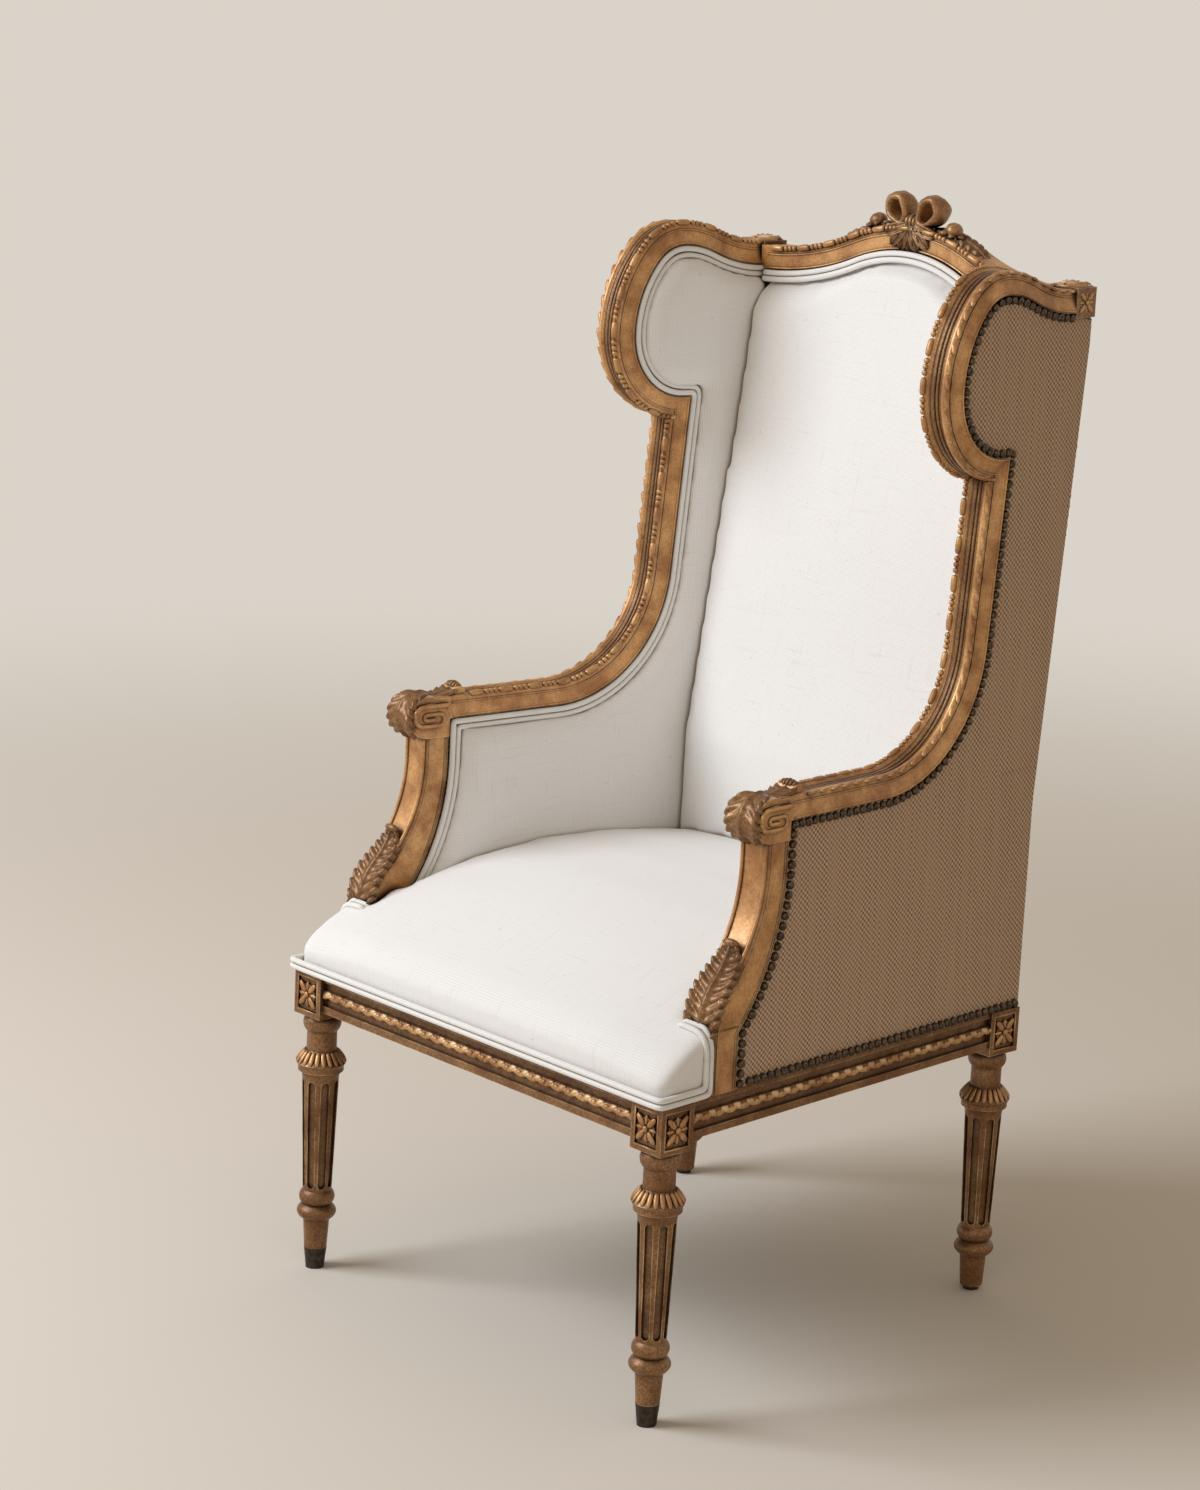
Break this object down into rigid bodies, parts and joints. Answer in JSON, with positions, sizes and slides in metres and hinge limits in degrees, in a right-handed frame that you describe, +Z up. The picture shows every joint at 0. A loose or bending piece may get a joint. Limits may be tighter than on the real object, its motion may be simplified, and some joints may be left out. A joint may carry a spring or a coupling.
{
  "type": "wingback chair",
  "caption": "Neoclassical wing armchair with a carved gilt frame, fluted legs, a tight linen seat and back, nailed outside covers and a ribbon bow on its crest.",
  "frame": {"origin": "on the floor, at the middle of the chair's width and depth", "axes": "+Z up from the floor, -Y the way the sitter faces, +X the sitter's left"},
  "size_m": [0.5846, 0.6476, 1.1494],
  "materials": {
    "carved_gilt": "worn gilding over carved wood, satin",
    "plain_beech": "plain planed wood, matt",
    "seat_linen": "slubbed linen, matt",
    "woven_cover": "coarse diamond weave, matt",
    "nail_heads": "dark patinated, hammered",
    "black_lining": "matt",
    "dark_caps": "dark, satin"
  },
  "bodies": {
    "root": {"crest_bow": "carved_gilt", "crest_rail": "carved_gilt", "front_rail": "carved_gilt", "left_arm_post": "carved_gilt", "left_arm_rail": "carved_gilt", "left_ear_rail": "carved_gilt", "left_front_leg": "carved_gilt", "left_rear_leg": "carved_gilt", "left_side_rail": "carved_gilt", "right_arm_post": "carved_gilt", "right_arm_rail": "carved_gilt", "right_ear_rail": "carved_gilt", "right_front_leg": "carved_gilt", "right_rear_leg": "carved_gilt", "right_side_rail": "carved_gilt", "corner_braces": "plain_beech", "left_tacking_rail": "plain_beech", "left_wing_dowel": "plain_beech", "lower_back_rail": "plain_beech", "rear_rail": "plain_beech", "right_tacking_rail": "plain_beech", "right_wing_dowel": "plain_beech", "back_pad": "seat_linen", "left_side_pad": "seat_linen", "left_side_welt": "seat_linen", "right_side_pad": "seat_linen", "right_side_welt": "seat_linen", "seat_pad": "seat_linen", "seat_welt": "seat_linen", "left_outside_panel": "woven_cover", "outside_back": "woven_cover", "right_outside_panel": "woven_cover", "left_nail_strip": "nail_heads", "right_nail_strip": "nail_heads", "dust_cover": "black_lining", "front_foot_caps": "dark_caps", "rear_foot_glides": "dark_caps"}
  },
  "joints": []
}
